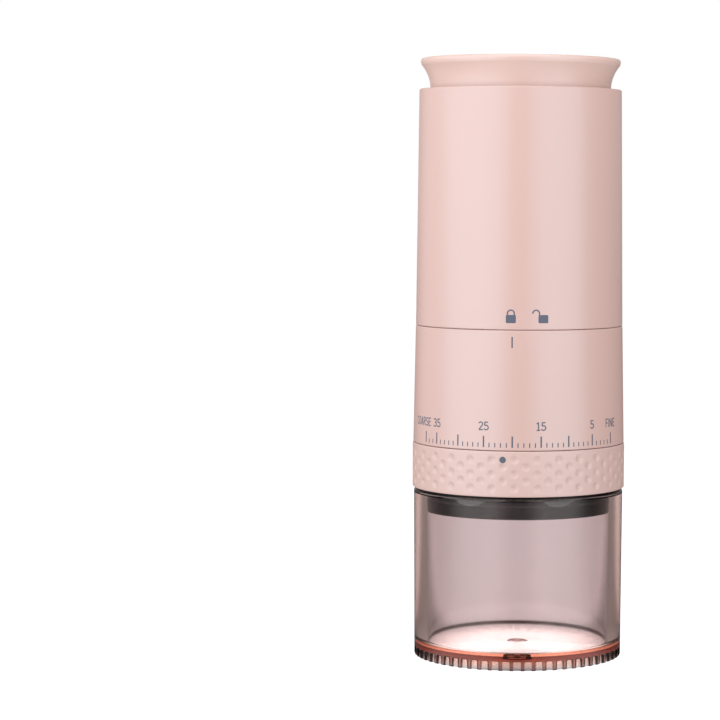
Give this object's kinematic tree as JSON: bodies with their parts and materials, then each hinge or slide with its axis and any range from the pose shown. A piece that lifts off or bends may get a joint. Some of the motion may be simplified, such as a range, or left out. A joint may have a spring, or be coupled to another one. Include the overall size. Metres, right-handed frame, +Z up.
{
  "type": "portable electric coffee grinder",
  "caption": "Cylindrical rechargeable conical burr coffee grinder with a twist-off motor host, an outer adjusting ring and a clear jar.",
  "frame": {"origin": "centre of the jar's foot, on the surface that the grinder stands on", "axes": "+Z up along the grinder's axis; the printed scale and the lock marks face -Y; +X is to the right as the scale is read"},
  "size_m": [0.07, 0.07, 0.1965],
  "materials": {
    "pink_shell": "satin pearl pink plastic",
    "pink_ring": "fine matte pink plastic with dimples",
    "pink_cap": "fine matte beige pink plastic",
    "clear_rose": "clear rose tinted plastic, polished",
    "black_plastic": "black moulded plastic",
    "hopper_plastic": "dark moulded plastic",
    "black_rubber": "smooth rubber",
    "white_plastic": "natural acetal plastic",
    "gear_plastic": "natural nylon",
    "dark_plastic": "dark plastic",
    "screw_steel": "zinc plated steel",
    "shaft_steel": "machined steel",
    "burr_steel": "ground stainless steel",
    "bearing_steel": "polished bearing steel",
    "brass": "machined brass",
    "magnet_grey": "pressed ferrite",
    "copper_winding": "enamelled copper winding",
    "cell_sleeve": "shrink sleeve",
    "nickel": "nickel plated strip",
    "board_green": "solder resist on glass fibre board",
    "lead_red": "lead insulation",
    "light_white": "milky light guide",
    "button_metal": "rose anodised, spun"
  },
  "bodies": {
    "jar": {"jar": "clear_rose"},
    "mill": {"jar_collar": "black_plastic", "jar_seal": "black_rubber", "core_housing": "black_plastic", "long_screws": "screw_steel", "mid_shell": "pink_shell", "hopper": "hopper_plastic", "bayonet_ring": "black_plastic", "bearing_outer_rings": "bearing_steel", "bearing_balls": "bearing_steel", "detent_ball": "bearing_steel", "detent_spring": "shaft_steel"},
    "adjusting_ring": {"dial_ring": "pink_ring"},
    "burr_carrier": {"burr_carrier": "shaft_steel", "ring_burr": "burr_steel", "burr_screws": "screw_steel", "carrier_keys": "brass"},
    "mill_shaft": {"mill_shaft": "shaft_steel", "cone_burr": "burr_steel", "shaft_nut": "screw_steel", "clutch_cup": "white_plastic", "bearing_inner_rings": "bearing_steel"},
    "lock_ring": {"lock_ring": "white_plastic"},
    "host": {"host_shell": "pink_shell", "host_floor": "black_plastic", "floor_screws": "screw_steel", "spindle_bush": "brass", "spindle_seal": "black_rubber", "gearbox_housing": "white_plastic", "gearbox_cover": "white_plastic", "cover_screws": "screw_steel", "gear_pins": "shaft_steel", "motor_can": "shaft_steel", "motor_magnets": "magnet_grey", "motor_end_cap": "dark_plastic", "motor_screws": "screw_steel", "battery_cells": "cell_sleeve", "battery_cradle": "dark_plastic", "battery_tabs": "nickel", "control_board": "board_green", "push_switch": "dark_plastic", "charge_port": "nickel", "board_screws": "screw_steel", "motor_leads": "lead_red", "top_cap": "pink_cap", "light_ring": "light_white"},
    "button": {"power_button": "button_metal", "switch_plunger": "dark_plastic"},
    "rotor": {"motor_rotor": "shaft_steel", "rotor_windings": "copper_winding", "drive_pinion": "brass"},
    "first_gear": {"first_gear": "gear_plastic"},
    "second_gear": {"second_gear": "gear_plastic"},
    "spindle": {"output_spindle": "shaft_steel", "output_gear": "shaft_steel", "clutch_dog": "shaft_steel"}
  },
  "joints": [
    {"name": "mill_lift", "type": "slide", "parent": "jar", "child": "mill", "axis": [0, 0, 1], "range_m": [0, 0.06]},
    {"name": "ring_turn", "type": "hinge", "parent": "mill", "child": "adjusting_ring", "pos_m": [0, 0, 0.0633], "axis": [0, 0, 1], "range_deg": [-51.2, 67.2]},
    {"name": "burr_adjust", "type": "slide", "parent": "adjusting_ring", "child": "burr_carrier", "axis": [0, 0, 1], "range_m": [-0.00069, 0.00053]},
    {"name": "burr_spin", "type": "hinge", "parent": "mill", "child": "mill_shaft", "pos_m": [0, 0, 0.08], "axis": [0, 0, 1], "continuous": true},
    {"name": "host_turn", "type": "hinge", "parent": "mill", "child": "lock_ring", "pos_m": [0, 0, 0.103], "axis": [0, 0, -1], "range_deg": [0, 16.3]},
    {"name": "host_lift", "type": "slide", "parent": "lock_ring", "child": "host", "axis": [0, 0, 1], "range_m": [0, 0.07]},
    {"name": "button_press", "type": "slide", "parent": "host", "child": "button", "axis": [0, 0, -1], "range_m": [0, 0.0005], "stiffness_N_per_m": 900, "springref_m": -0.0008},
    {"name": "rotor_spin", "type": "hinge", "parent": "host", "child": "rotor", "pos_m": [0, 0.014, 0.145], "axis": [0, 0, 1], "continuous": true},
    {"name": "first_gear_spin", "type": "hinge", "parent": "host", "child": "first_gear", "pos_m": [-0.0141, 0.00887, 0.124], "axis": [0, 0, 1], "continuous": true},
    {"name": "second_gear_spin", "type": "hinge", "parent": "host", "child": "second_gear", "pos_m": [-0.0159, -0.00542, 0.119], "axis": [0, 0, 1], "continuous": true},
    {"name": "spindle_spin", "type": "hinge", "parent": "host", "child": "spindle", "pos_m": [0, 0, 0.115], "axis": [0, 0, 1], "continuous": true}
  ],
  "couplings": [
    {"joint": "burr_adjust", "follows": "ring_turn", "m_per_rad": -0.0005807},
    {"joint": "first_gear_spin", "follows": "rotor_spin", "ratio": -0.25},
    {"joint": "second_gear_spin", "follows": "rotor_spin", "ratio": 0.083333},
    {"joint": "spindle_spin", "follows": "rotor_spin", "ratio": -0.033333},
    {"joint": "burr_spin", "follows": "rotor_spin", "ratio": -0.033333}
  ]
}
